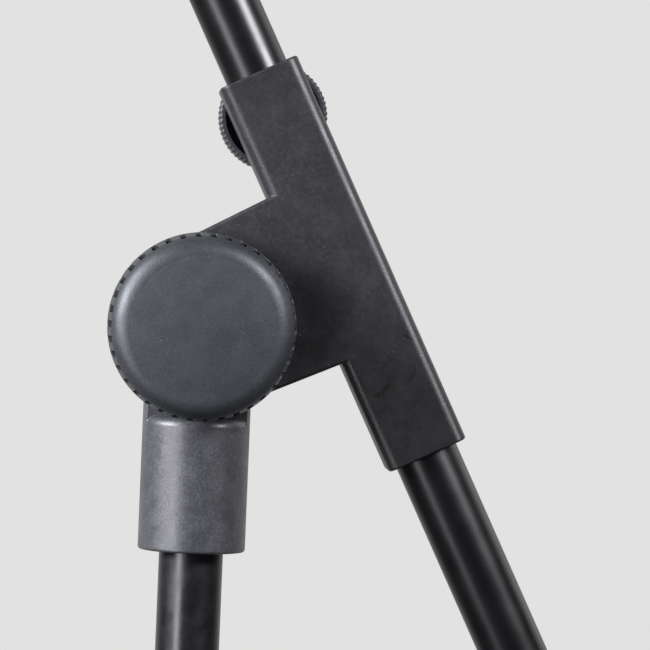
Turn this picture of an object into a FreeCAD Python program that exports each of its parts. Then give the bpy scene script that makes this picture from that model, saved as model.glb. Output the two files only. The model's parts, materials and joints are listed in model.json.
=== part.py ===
"""Boom microphone stand: folding tripod, telescopic post, tilt clutch and sliding boom.

Millimetres, +Z up. The origin is on the floor, on the axis of the post.
The pivot bolt of the clutch lies along Y, and its knob faces -Y.
"""
import FreeCAD, Part
import math
import os
import re

import Sketcher

FOLDER = "parts"

# Driving dimensions. Every other size is a formula of these.
SIZES = {
    # tubes
    "post_outer": 16, "post_wall": 1.2, "column_outer": 20, "column_wall": 1.2,
    "boom_outer": 16, "boom_wall": 1.2, "leg_outer": 16, "leg_wall": 1.2,
    "running_gap": 0.05, "seat_gap": 0.05, "side_gap": 0.3,
    # heights above the floor
    "pivot_height": 1000, "column_foot": 48, "column_top": 620, "post_foot": 176,
    # tripod
    "leg_slope": 17, "leg_reach": 300, "leg_count": 3, "leg_pivot_radius": 30,
    "hub_radius": 18, "hub_height": 46, "hub_pivot_rise": 30, "hub_chamfer": 3,
    "fork_eye_radius": 9.5, "fork_cheek": 5, "fork_root": 12, "fork_foot": 4, "fork_stop": 11.3,
    "tongue_width": 12, "tongue_radius": 8, "tongue_length": 14.5, "tongue_room": 0.5,
    "knuckle_collar_radius": 8.6, "knuckle_collar": 4, "knuckle_plug": 22,
    "leg_bolt_radius": 2.5, "leg_bolt_head_radius": 4.6, "leg_bolt_head": 3, "leg_bolt_dome": 1.4,
    "leg_bolt_drive": 3, "leg_bolt_drive_depth": 2,
    "leg_nut_flats": 8, "leg_nut_depth": 4, "leg_bolt_tail": 1,
    "foot_radius": 11, "foot_depth": 32, "foot_end": 5, "foot_flat": 2, "foot_round": 3,
    "plug_flange": 5, "plug_depth": 16, "plug_round": 2,
    # height clutch
    "clutch_radius": 15, "clutch_edge": 1, "clutch_skirt": 30, "clutch_seat": 4,
    "neck_radius": 12, "neck_length": 18,
    "collet_radius": 11, "collet_tip_radius": 10, "collet_length": 12, "collet_slit": 1.5,
    "collet_gap": 0.2, "grip_radius": 17, "grip_wall_length": 27, "grip_nose_radius": 12,
    "grip_length": 50,
    "grip_bore_gap": 0.3, "grip_cavity": 31, "grip_cavity_gap": 0.1, "grip_edge": 1,
    "flute_count": 20, "flute_radius": 1.6, "flute_depth": 0.9, "flute_land": 4,
    "bush_height": 24, "bush_spigot": 14, "bush_edge": 1,
    # socket under the pivot
    "socket_radius": 13.4, "socket_foot": 56.2, "socket_shoulder": 22.8, "ear_flat": 5,
    "socket_seat": 22, "socket_stud_radius": 4.76, "socket_stud": 10, "socket_stud_room": 1,
    "insert_depth": 25,
    "socket_edge": 1, "bolt_head_flats": 13, "bolt_head_depth": 5, "bolt_head_sink": 5.2,
    # clutch stack along the pivot bolt
    "pivot_bolt_radius": 4, "pivot_bolt_length": 41, "pivot_bolt_edge": 1,
    "disc_radius": 13, "disc_thickness": 1.5, "arm_thickness": 15.5, "arm_disc_radius": 21,
    "arm_sleeve_half": 22.3, "washer_radius": 10, "washer_thickness": 1,
    # sleeve of the bracket
    "sleeve_side": 20.6, "sleeve_length": 102.5, "boom_offset": 37.8, "sleeve_edge": 3, "tilt_angle": 26.3,
    "lock_inset": 11, "lock_boss_radius": 7.5, "lock_boss": 6.5, "lock_boss_root": 1,
    # tilt knob
    "knob_radius": 23.1, "knob_front_radius": 22.3, "knob_height": 16, "knob_edge": 4,
    "knob_cavity_radius": 18.5, "knob_cavity": 11, "knob_boss_radius": 9, "knob_bore_depth": 13,
    "knob_notches": 38, "notch_width": 1.6, "notch_depth": 1, "notch_top": 3.4,
    "insert_radius": 6.5, "insert_length": 12,
    # boom lock
    "lock_knob_radius": 13.6, "lock_knob_height": 14, "lock_knob_wall": 1.9, "lock_knob_cavity": 9,
    "lock_knob_edge": 1.2, "lock_knob_gap": 1.6, "lock_screw_radius": 3, "lock_screw_sink": 4,
    "lock_pad_radius": 2.9, "lock_pad_thickness": 1.2,
    # boom and its ends
    "boom_reach": 560, "boom_tail": 240, "cap_radius": 9.6, "cap_depth": 26, "cap_end": 4,
    "cap_round": 2, "cap_lip": 1, "mic_plug_radius": 8.8, "mic_plug_collar": 12, "mic_plug_depth": 26,
    "mic_stud_radius": 4.76, "mic_stud_length": 12, "mic_stud_sink": 18, "mic_stud_root_radius": 4.2,
    "mic_plug_edge": 1,
}

DOC = FreeCAD.newDocument("boom_microphone_stand")
SHEET = DOC.addObject("Spreadsheet::Sheet", "Sizes")
for row, (alias, number) in enumerate(SIZES.items(), start=1):
    SHEET.set("A%d" % row, alias)
    SHEET.set("B%d" % row, str(number))
    SHEET.setAlias("B%d" % row, alias)
DOC.recompute()

UP = FreeCAD.Vector(0, 0, 1)
BACK = FreeCAD.Vector(0, 1, 0)
RIGHT = FreeCAD.Vector(1, 0, 0)
HEXAGON = 6
KNOB_EDGE_ANGLES = (30, 60, 90)
TINY = 1e-6


# --- formulas -----------------------------------------------------------------------------------

def full(formula):
    """The formula with each driving dimension named the way an expression needs it."""
    def name(word):
        return "Sizes." + word.group() if word.group() in SIZES else word.group()
    return re.sub(r"[a-z_]+", name, str(formula))


def value(formula):
    """The number that a formula of the driving dimensions comes to."""
    return float(SHEET.evalExpression(full(formula)))


def bind(feature, **formulas):
    """Bind properties of a feature to formulas, with __ for a dot in the property's path."""
    for path, formula in formulas.items():
        feature.setExpression(path.replace("__", "."), full(formula))


# --- sketches and features ----------------------------------------------------------------------

def make_body(label):
    body = DOC.addObject("PartDesign::Body", label)
    body.Label = label
    return body


def make_sketch(body, name, role, offset="0"):
    """An empty sketch on one of the body's own origin planes, moved along the plane's normal."""
    plane = [item for item in body.Origin.OriginFeatures if item.Role == role][0]
    sketch = body.newObject("Sketcher::SketchObject", "%s_%s" % (body.Label, name))
    sketch.AttachmentSupport = [(plane, "")]
    sketch.MapMode = "FlatFace"
    bind(sketch, AttachmentOffset__Base__z=offset)
    return sketch


def pin_point(sketch, geometry, end, corner):
    """Hold one point of the sketch at a corner given as two formulas."""
    for kind, formula in zip(("DistanceX", "DistanceY"), corner):
        number = sketch.addConstraint(Sketcher.Constraint(kind, -1, 1, geometry, end, value(formula)))
        sketch.setExpression("Constraints[%d]" % number, full(formula))


def add_outline(sketch, corners):
    """A closed outline of straight lines through corners given as pairs of formulas."""
    points = [FreeCAD.Vector(value(across), value(along), 0) for across, along in corners]
    lines = []
    for point, following in zip(points, points[1:] + points[:1]):
        lines.append(sketch.addGeometry(Part.LineSegment(point, following)))
    for line, following, corner in zip(lines, lines[1:] + lines[:1], corners):
        sketch.addConstraint(Sketcher.Constraint("Coincident", line, 2, following, 1))
        pin_point(sketch, line, 1, corner)


def add_circle(sketch, across, along, radius):
    centre = FreeCAD.Vector(value(across), value(along), 0)
    circle = sketch.addGeometry(Part.Circle(centre, UP, value(radius)))
    number = sketch.addConstraint(Sketcher.Constraint("Radius", circle, value(radius)))
    sketch.setExpression("Constraints[%d]" % number, full(radius))
    pin_point(sketch, circle, 3, (across, along))


def add_hexagon(sketch, flats):
    """A hexagon about the sketch's origin, given its size across flats."""
    corners = []
    for corner in range(HEXAGON):
        angle = corner * 360 // HEXAGON
        reach = "(%s) / (2 * cos(%d))" % (flats, 180 // HEXAGON)
        corners.append(("%s * cos(%d)" % (reach, angle), "%s * sin(%d)" % (reach, angle)))
    add_outline(sketch, corners)


def turn(body, name, corners):
    """Turn an outline of (radius, height) corners once round the body's Z axis."""
    sketch = make_sketch(body, name + "_outline", "XZ_Plane")
    add_outline(sketch, corners)
    feature = body.newObject("PartDesign::Revolution", "%s_%s" % (body.Label, name))
    feature.Profile = sketch
    feature.ReferenceAxis = (sketch, ["V_Axis"])
    feature.Angle = 360
    DOC.recompute()
    return feature


def pad(body, name, sketch, length, midplane=False, flip=False):
    feature = body.newObject("PartDesign::Pad", "%s_%s" % (body.Label, name))
    feature.Profile = sketch
    feature.Midplane = midplane
    feature.Reversed = flip
    bind(feature, Length=length)
    DOC.recompute()
    return feature


def pocket(body, name, sketch, length, midplane=False, flip=False):
    """Cut a sketch out of the body, and make sure that it takes something away."""
    before = body.Shape.Volume
    feature = body.newObject("PartDesign::Pocket", "%s_%s" % (body.Label, name))
    feature.Profile = sketch
    feature.Midplane = midplane
    feature.Reversed = flip
    bind(feature, Length=length)
    DOC.recompute()
    if body.Shape.Volume >= before:
        raise ValueError("pocket %s cuts nothing" % feature.Label)
    return feature


def repeat_round(body, name, features, count):
    """Repeat features evenly round the body's Z axis."""
    axis = [item for item in body.Origin.OriginFeatures if item.Role == "Z_Axis"][0]
    pattern = body.newObject("PartDesign::PolarPattern", "%s_%s" % (body.Label, name))
    pattern.Originals = features
    pattern.Axis = (axis, [""])
    pattern.Angle = 360
    bind(pattern, Occurrences=count)
    body.Tip = pattern
    DOC.recompute()
    return pattern


def is_arc_at(height):
    """A test for round edges that lie flat at a height along the body's axis."""
    def test(edge):
        box = edge.BoundBox
        level = box.ZLength < TINY and abs(box.ZMin - value(height)) < TINY
        return level and edge.Curve.TypeId == "Part::GeomCircle"
    return test


def is_upright(length):
    """A test for edges that run more than half a length along the body's axis."""
    def test(edge):
        return edge.BoundBox.ZLength > value(length) / 2
    return test


def soften(body, name, radius, test):
    """Round the edges of the body that pass a test."""
    base = body.Tip
    edges = ["Edge%d" % number for number, edge in enumerate(base.Shape.Edges, start=1) if test(edge)]
    feature = body.newObject("PartDesign::Fillet", "%s_%s" % (body.Label, name))
    feature.Base = (base, edges)
    bind(feature, Radius=radius)
    DOC.recompute()
    return feature


def place(body, across, back, height, rotation=FreeCAD.Rotation()):
    """Put a body's own origin at a point of the stand, given as three formulas."""
    body.Placement = FreeCAD.Placement(FreeCAD.Vector(), rotation)
    bind(body, Placement__Base__x=across, Placement__Base__y=back, Placement__Base__z=height)


def make_tube(label, outer, wall, length):
    """A round tube along its body's Z axis, from z = 0."""
    body = make_body(label)
    inner = "%s / 2 - %s" % (outer, wall)
    turn(body, "wall", [(inner, "0"), (outer + " / 2", "0"), (outer + " / 2", length), (inner, length)])
    return body


# --- places -------------------------------------------------------------------------------------

LEG_PIVOT_HEIGHT = "(leg_reach * sin(leg_slope) + foot_radius * cos(leg_slope) - foot_flat)"
HUB_FOOT = LEG_PIVOT_HEIGHT + " - hub_pivot_rise"
FORK_WIDTH = "(tongue_width + 2 * side_gap + 2 * fork_cheek)"
LEG_TUBE_START = "(tongue_length + knuckle_collar)"
CLUTCH_FOOT = "(column_top - clutch_skirt)"
POST_TOP = "(pivot_height - socket_foot + socket_seat)"
ARM_BACK = "(ear_flat + disc_thickness)"
ARM_FRONT = "(ear_flat + disc_thickness + arm_thickness)"
KNOB_BACK = "(ear_flat + disc_thickness + arm_thickness + washer_thickness)"
SLEEVE_BACK = "(ear_flat + disc_thickness + arm_thickness - sleeve_side)"
BOOM_DEPTH = "(ear_flat + disc_thickness + arm_thickness - sleeve_side / 2)"
LOCK_RISE = "(sleeve_length / 2 - lock_inset)"

TILT = FreeCAD.Rotation(BACK, -value("tilt_angle"))
TO_FRONT = FreeCAD.Rotation(RIGHT, 90)
TO_BACK = FreeCAD.Rotation(RIGHT, -90)
FIRST_LEG_AZIMUTH = 90


def leg_rotation(azimuth):
    """Local Z runs down the leg from its pivot, and local Y is the pivot's axis."""
    return FreeCAD.Rotation(UP, azimuth) * FreeCAD.Rotation(BACK, 90 + value("leg_slope"))


def place_on_leg(body, azimuth, rotation):
    across = "leg_pivot_radius * cos(%d)" % azimuth
    back = "leg_pivot_radius * sin(%d)" % azimuth
    place(body, across, back, LEG_PIVOT_HEIGHT, rotation)


def place_on_tilt(body, across, back, along, rotation):
    """A point of the tilting bracket: across towards the sleeve, along the boom."""
    place(body,
          "(%s) * cos(tilt_angle) - (%s) * sin(tilt_angle)" % (across, along),
          back,
          "pivot_height + (%s) * sin(tilt_angle) + (%s) * cos(tilt_angle)" % (across, along),
          rotation)


# --- tripod -------------------------------------------------------------------------------------

def build_hub():
    """Moulded hub: a ring on the column and three forks for the legs."""
    body = make_body("leg_hub")
    bore = "column_outer / 2 + seat_gap"
    turn(body, "ring", [
        (bore, "0"), ("hub_radius - hub_chamfer", "0"), ("hub_radius", "hub_chamfer"),
        ("hub_radius", "hub_height - hub_chamfer"), ("hub_radius - hub_chamfer", "hub_height"),
        (bore, "hub_height")])
    web_sketch = make_sketch(body, "web_outline", "XZ_Plane")
    add_outline(web_sketch, [
        ("fork_root", "fork_foot"),
        ("leg_pivot_radius + fork_eye_radius / 2", "fork_foot + fork_eye_radius / 2"),
        ("leg_pivot_radius + fork_eye_radius", "hub_pivot_rise - fork_eye_radius"),
        ("leg_pivot_radius + fork_eye_radius", "hub_pivot_rise"),
        ("leg_pivot_radius", "hub_pivot_rise + fork_eye_radius"),
        ("fork_root", "hub_height - fork_foot")])
    web = pad(body, "web", web_sketch, FORK_WIDTH, midplane=True)
    eye_sketch = make_sketch(body, "eye_outline", "XZ_Plane")
    add_circle(eye_sketch, "leg_pivot_radius", "hub_pivot_rise", "fork_eye_radius")
    eye = pad(body, "eye", eye_sketch, FORK_WIDTH, midplane=True)
    slot_sketch = make_sketch(body, "slot_outline", "XZ_Plane")
    slot_near = "leg_pivot_radius - tongue_radius - tongue_room"
    slot_far = "leg_pivot_radius + 2 * fork_eye_radius"
    slot_floor = "hub_pivot_rise - fork_stop"
    slot_top = "hub_height + fork_foot"
    add_outline(slot_sketch, [(slot_near, slot_floor), (slot_far, slot_floor),
                              (slot_far, slot_top), (slot_near, slot_top)])
    slot = pocket(body, "slot", slot_sketch, "tongue_width + 2 * side_gap", midplane=True)
    hole_sketch = make_sketch(body, "hole_outline", "XZ_Plane")
    add_circle(hole_sketch, "leg_pivot_radius", "hub_pivot_rise", "leg_bolt_radius + running_gap")
    hole = pocket(body, "hole", hole_sketch, FORK_WIDTH + " * 2", midplane=True)
    repeat_round(body, "forks", [web, eye, slot, hole], "leg_count")
    place(body, "0", "0", HUB_FOOT, FreeCAD.Rotation(UP, FIRST_LEG_AZIMUTH))


def build_leg(number, azimuth):
    """One leg: bolt and nut in the hub's fork, knuckle, tube and rubber foot."""
    down_leg = leg_rotation(azimuth)
    across_fork = FreeCAD.Rotation(UP, azimuth) * TO_FRONT

    bolt = make_body("leg_bolt_%d" % number)
    head_face = FORK_WIDTH + " / 2"
    tip = "-(%s / 2 + leg_nut_depth + leg_bolt_tail)" % FORK_WIDTH
    turn(bolt, "shank", [
        ("0", tip), ("leg_bolt_radius", tip), ("leg_bolt_radius", head_face),
        ("leg_bolt_head_radius", head_face),
        ("leg_bolt_head_radius", head_face + " + leg_bolt_head / 2"),
        ("leg_bolt_head_radius - leg_bolt_dome", head_face + " + leg_bolt_head"),
        ("0", head_face + " + leg_bolt_head")])
    drive_sketch = make_sketch(bolt, "drive_outline", "XY_Plane", head_face + " + leg_bolt_head")
    add_hexagon(drive_sketch, "leg_bolt_drive")
    pocket(bolt, "drive", drive_sketch, "leg_bolt_drive_depth")
    place_on_leg(bolt, azimuth, across_fork)

    nut = make_body("leg_nut_%d" % number)
    nut_sketch = make_sketch(nut, "outline", "XY_Plane", "-(%s / 2 + leg_nut_depth)" % FORK_WIDTH)
    add_hexagon(nut_sketch, "leg_nut_flats")
    add_circle(nut_sketch, "0", "0", "leg_bolt_radius + seat_gap")
    pad(nut, "hexagon", nut_sketch, "leg_nut_depth")
    place_on_leg(nut, azimuth, across_fork)

    knuckle = make_body("leg_knuckle_%d" % number)
    plug_radius = "leg_outer / 2 - leg_wall - seat_gap"
    turn(knuckle, "plug", [
        ("0", "tongue_length"), ("knuckle_collar_radius", "tongue_length"),
        ("knuckle_collar_radius", LEG_TUBE_START), (plug_radius, LEG_TUBE_START),
        (plug_radius, LEG_TUBE_START + " + knuckle_plug"), ("0", LEG_TUBE_START + " + knuckle_plug")])
    tongue_sketch = make_sketch(knuckle, "tongue_outline", "XZ_Plane")
    tongue_end = "tongue_length + knuckle_collar / 2"
    add_outline(tongue_sketch, [("-tongue_radius", "0"), ("tongue_radius", "0"),
                                ("tongue_radius", tongue_end), ("-tongue_radius", tongue_end)])
    pad(knuckle, "tongue", tongue_sketch, "tongue_width", midplane=True)
    round_sketch = make_sketch(knuckle, "round_outline", "XZ_Plane")
    add_circle(round_sketch, "0", "0", "tongue_radius")
    pad(knuckle, "round", round_sketch, "tongue_width", midplane=True)
    hole_sketch = make_sketch(knuckle, "hole_outline", "XZ_Plane")
    add_circle(hole_sketch, "0", "0", "leg_bolt_radius + running_gap")
    pocket(knuckle, "hole", hole_sketch, "tongue_width * 2", midplane=True)
    place_on_leg(knuckle, azimuth, down_leg)

    tube = make_tube("leg_tube_%d" % number, "leg_outer", "leg_wall",
                     "leg_reach - foot_end - %s" % LEG_TUBE_START)
    start = "(%s)" % LEG_TUBE_START
    place(tube,
          "(leg_pivot_radius + %s * cos(leg_slope)) * cos(%d)" % (start, azimuth),
          "(leg_pivot_radius + %s * cos(leg_slope)) * sin(%d)" % (start, azimuth),
          "%s - %s * sin(leg_slope)" % (LEG_PIVOT_HEIGHT, start), down_leg)

    foot = make_body("foot_cap_%d" % number)
    bore = "leg_outer / 2 + seat_gap"
    mouth = "leg_reach - foot_depth"
    turn(foot, "cap", [
        (bore, mouth), ("foot_radius - foot_round / 2", mouth),
        ("foot_radius", mouth + " + foot_round"), ("foot_radius", "leg_reach - foot_round / 3"),
        ("foot_radius - foot_round / 3", "leg_reach"), ("0", "leg_reach"),
        ("0", "leg_reach - foot_end + seat_gap"), (bore, "leg_reach - foot_end + seat_gap")])
    floor_sketch = make_sketch(foot, "floor_outline", "XZ_Plane")
    end_drop = "(foot_radius - foot_flat / cos(leg_slope))"
    past_end = "leg_reach + foot_round"
    add_outline(floor_sketch, [
        (end_drop + " - foot_round * tan(leg_slope)", past_end),
        (end_drop + " + foot_depth * tan(leg_slope)", mouth),
        ("foot_radius * 3", mouth), ("foot_radius * 3", past_end)])
    pocket(foot, "floor", floor_sketch, "foot_radius * 4", midplane=True)
    place_on_leg(foot, azimuth, down_leg)


def build_column():
    """Lower tube with its end plug and the fixed half of the height clutch."""
    column = make_tube("lower_tube", "column_outer", "column_wall", "column_top - column_foot")
    place(column, "0", "0", "column_foot")

    plug = make_body("tube_plug")
    inside = "column_outer / 2 - column_wall - seat_gap"
    turn(plug, "plug", [
        ("0", "-plug_flange"), ("column_outer / 2 - plug_round", "-plug_flange"),
        ("column_outer / 2", "plug_round - plug_flange"), ("column_outer / 2", "0"),
        (inside, "0"), (inside, "plug_depth"), ("0", "plug_depth")])
    place(plug, "0", "0", "column_foot")

    base = make_body("clutch_base")
    skirt_bore = "column_outer / 2 + seat_gap"
    neck_bore = "post_outer / 2 + running_gap"
    skirt_top = "clutch_skirt + clutch_seat"
    turn(base, "skirt", [
        (skirt_bore, "0"), ("clutch_radius - clutch_edge", "0"), ("clutch_radius", "clutch_edge"),
        ("clutch_radius", skirt_top), ("neck_radius", skirt_top),
        ("neck_radius", skirt_top + " + neck_length"), (neck_bore, skirt_top + " + neck_length"),
        (neck_bore, "clutch_skirt + seat_gap"), (skirt_bore, "clutch_skirt + seat_gap")])
    place(base, "0", "0", CLUTCH_FOOT)

    collet = make_body("clutch_collet")
    foot = "%s + neck_length + collet_gap" % skirt_top
    turn(collet, "cone", [
        (neck_bore, foot), ("collet_radius", foot), ("collet_tip_radius", foot + " + collet_length"),
        (neck_bore, foot + " + collet_length")])
    slit_sketch = make_sketch(collet, "slit_outline", "XY_Plane", foot)
    add_outline(slit_sketch, [("0", "-collet_slit / 2"), ("neck_radius", "-collet_slit / 2"),
                              ("neck_radius", "collet_slit / 2"), ("0", "collet_slit / 2")])
    pocket(collet, "slit", slit_sketch, "collet_length * 2", flip=True)
    place(collet, "0", "0", CLUTCH_FOOT)

    grip = make_body("height_grip")
    grip_foot = skirt_top + " + side_gap"
    cavity = "neck_radius + grip_cavity_gap"
    nose_bore = "post_outer / 2 + grip_bore_gap"
    turn(grip, "shell", [
        (cavity, grip_foot), ("grip_radius - grip_edge", grip_foot),
        ("grip_radius", grip_foot + " + grip_edge"),
        ("grip_radius", grip_foot + " + grip_wall_length"),
        ("grip_nose_radius", grip_foot + " + grip_length"), (nose_bore, grip_foot + " + grip_length"),
        (nose_bore, grip_foot + " + grip_cavity"), (cavity, grip_foot + " + grip_cavity")])
    flute_sketch = make_sketch(grip, "flute_outline", "XY_Plane", grip_foot + " + grip_wall_length")
    add_circle(flute_sketch, "grip_radius + flute_radius - flute_depth", "0", "flute_radius")
    flute = pocket(grip, "flute", flute_sketch, "grip_wall_length - flute_land")
    repeat_round(grip, "flutes", [flute], "flute_count")
    place(grip, "0", "0", CLUTCH_FOOT)


# --- post and socket ----------------------------------------------------------------------------

def build_post():
    """Upper tube, the bush that guides its foot, and the stud in its top."""
    post_inner = "post_outer / 2 - post_wall"
    bush = make_body("glide_bush")
    sliding = "column_outer / 2 - column_wall - running_gap"
    spigot = post_inner + " - running_gap"
    turn(bush, "bush", [
        ("0", "-bush_height"), (sliding + " - bush_edge", "-bush_height"),
        (sliding, "bush_edge - bush_height"),
        (sliding, "-running_gap"), (spigot, "-running_gap"), (spigot, "bush_spigot"),
        ("0", "bush_spigot")])
    place(bush, "0", "0", "post_foot")

    post = make_tube("upper_tube", "post_outer", "post_wall", POST_TOP + " - post_foot")
    place(post, "0", "0", "post_foot")

    insert = make_body("post_insert")
    plug = post_inner + " - seat_gap"
    turn(insert, "stud", [
        ("0", "-insert_depth"), (plug, "-insert_depth"), (plug, "0"), ("socket_stud_radius", "0"),
        ("socket_stud_radius", "socket_stud"), ("0", "socket_stud")])
    place(insert, "0", "0", POST_TOP)


def build_socket():
    """Casting on the post's top. Above its shoulder the front is cut back to a flat ear."""
    body = make_body("swivel_socket")
    seat = "socket_seat - socket_foot + seat_gap"
    stud_bore = "socket_stud_radius + seat_gap"
    stud_top = "socket_seat - socket_foot + socket_stud + socket_stud_room"
    turn(body, "barrel", [
        ("post_outer / 2 + seat_gap", "-socket_foot"),
        ("socket_radius - socket_edge", "-socket_foot"),
        ("socket_radius", "socket_edge - socket_foot"),
        ("socket_radius", "socket_radius"), ("0", "socket_radius"),
        ("0", stud_top), (stud_bore, stud_top), (stud_bore, seat), ("post_outer / 2 + seat_gap", seat)])

    flat_sketch = make_sketch(body, "flat_outline", "YZ_Plane")
    add_outline(flat_sketch, [
        ("-socket_radius * 2", "-socket_shoulder"), ("-ear_flat", "-socket_shoulder"),
        ("-ear_flat", "socket_radius * 2"), ("-socket_radius * 2", "socket_radius * 2")])
    pocket(body, "flat", flat_sketch, "socket_radius * 4", midplane=True)

    soften(body, "shoulder_edge", "socket_edge", is_arc_at("-socket_shoulder"))

    crown_sketch = make_sketch(body, "crown_outline", "XZ_Plane")
    add_crown(crown_sketch, "socket_radius")
    pocket(body, "crown", crown_sketch, "socket_radius * 4", midplane=True)

    hole_sketch = make_sketch(body, "hole_outline", "XZ_Plane")
    add_circle(hole_sketch, "0", "0", "pivot_bolt_radius + running_gap")
    pocket(body, "hole", hole_sketch, "socket_radius * 4", midplane=True)

    head_sketch = make_sketch(body, "head_outline", "XZ_Plane", "-socket_radius")
    add_hexagon(head_sketch, "bolt_head_flats + 4 * seat_gap")
    pocket(body, "head", head_sketch, "bolt_head_sink", flip=True)
    place(body, "0", "0", "pivot_height")


def add_crown(sketch, radius):
    """Everything above a half circle about the sketch's origin, for rounding off a square end."""
    size = value(radius)
    reach = "%s * 2" % radius
    far = value(reach)
    corners = [(size, 0), (far, 0), (far, far), (-far, far), (-far, 0), (-size, 0)]
    points = [FreeCAD.Vector(across, along, 0) for across, along in corners]
    names = [(radius, "0"), (reach, "0"), (reach, reach), ("-" + reach, reach), ("-" + reach, "0"),
             ("-" + radius, "0")]
    lines = []
    for point, following in zip(points, points[1:]):
        lines.append(sketch.addGeometry(Part.LineSegment(point, following)))
    for line, following in zip(lines, lines[1:]):
        sketch.addConstraint(Sketcher.Constraint("Coincident", line, 2, following, 1))
    for line, name in zip(lines, names):
        pin_point(sketch, line, 1, name)
    circle = Part.Circle(FreeCAD.Vector(), UP, size)
    arc = sketch.addGeometry(Part.ArcOfCircle(circle, 0, math.pi))
    sketch.addConstraint(Sketcher.Constraint("Coincident", arc, 3, -1, 1))
    sketch.addConstraint(Sketcher.Constraint("Coincident", arc, 1, lines[0], 1))
    sketch.addConstraint(Sketcher.Constraint("Coincident", arc, 2, lines[-1], 2))
    sketch.addConstraint(Sketcher.Constraint("PointOnObject", arc, 2, -1))


def build_pivot_stack():
    """Bolt held in the ear, friction disc and thrust washer, along -Y from the ear."""
    bolt = make_body("pivot_bolt")
    head_sketch = make_sketch(bolt, "head_outline", "XY_Plane")
    add_hexagon(head_sketch, "bolt_head_flats")
    pad(bolt, "head", head_sketch, "bolt_head_depth", flip=True)
    turn(bolt, "shank", [
        ("0", "-bolt_head_depth / 2"), ("pivot_bolt_radius", "-bolt_head_depth / 2"),
        ("pivot_bolt_radius", "pivot_bolt_length - pivot_bolt_edge"),
        ("pivot_bolt_radius - pivot_bolt_edge", "pivot_bolt_length"), ("0", "pivot_bolt_length")])
    place(bolt, "0", "socket_radius - bolt_head_sink", "pivot_height", TO_FRONT)

    bore = "pivot_bolt_radius + running_gap"
    disc = make_body("friction_disc")
    turn(disc, "ring", [(bore, "0"), ("disc_radius", "0"), ("disc_radius", "disc_thickness"),
                        (bore, "disc_thickness")])
    place(disc, "0", "-ear_flat", "pivot_height", TO_FRONT)

    washer = make_body("thrust_washer")
    turn(washer, "ring", [(bore, "0"), ("washer_radius", "0"), ("washer_radius", "washer_thickness"),
                          (bore, "washer_thickness")])
    place(washer, "0", "-" + ARM_FRONT, "pivot_height", TO_FRONT)


# --- bracket ------------------------------------------------------------------------------------

def build_bracket():
    """Arm and sleeve in one moulding. Local X runs along the arm and local Z along the boom."""
    body = make_body("boom_bracket")
    near = "boom_offset - sleeve_side / 2"
    far = "boom_offset + sleeve_side / 2"
    sleeve_sketch = make_sketch(body, "sleeve_outline", "XY_Plane")
    add_outline(sleeve_sketch, [(near, "-" + ARM_FRONT), (far, "-" + ARM_FRONT),
                                (far, "-" + SLEEVE_BACK), (near, "-" + SLEEVE_BACK)])
    pad(body, "sleeve", sleeve_sketch, "sleeve_length", midplane=True)
    soften(body, "sleeve_edges", "sleeve_edge", is_upright("sleeve_length"))

    arm_sketch = make_sketch(body, "arm_outline", "XZ_Plane", ARM_BACK)
    arm_end = near + " + sleeve_edge"
    add_outline(arm_sketch, [("0", "-arm_disc_radius"), (arm_end, "-arm_sleeve_half"),
                             (arm_end, "arm_sleeve_half"), ("0", "arm_disc_radius")])
    pad(body, "arm", arm_sketch, "arm_thickness")
    disc_sketch = make_sketch(body, "disc_outline", "XZ_Plane", ARM_BACK)
    add_circle(disc_sketch, "0", "0", "arm_disc_radius")
    pad(body, "disc", disc_sketch, "arm_thickness")

    boss_sketch = make_sketch(body, "boss_outline", "XZ_Plane", SLEEVE_BACK + " + lock_boss_root")
    add_circle(boss_sketch, "boom_offset", LOCK_RISE, "lock_boss_radius")
    pad(body, "boss", boss_sketch, "lock_boss + lock_boss_root", flip=True)

    bore_sketch = make_sketch(body, "bore_outline", "XY_Plane")
    add_circle(bore_sketch, "boom_offset", "-" + BOOM_DEPTH, "boom_outer / 2 + running_gap")
    pocket(body, "bore", bore_sketch, "sleeve_length * 2", midplane=True)
    pivot_sketch = make_sketch(body, "pivot_outline", "XZ_Plane")
    add_circle(pivot_sketch, "0", "0", "pivot_bolt_radius + running_gap")
    pocket(body, "pivot", pivot_sketch, ARM_FRONT + " * 3", midplane=True)
    screw_sketch = make_sketch(body, "screw_outline", "XZ_Plane", BOOM_DEPTH)
    add_circle(screw_sketch, "boom_offset", LOCK_RISE, "lock_screw_radius + running_gap")
    pocket(body, "screw", screw_sketch, "sleeve_side + lock_boss")
    place(body, "0", "0", "pivot_height", TILT)


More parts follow.
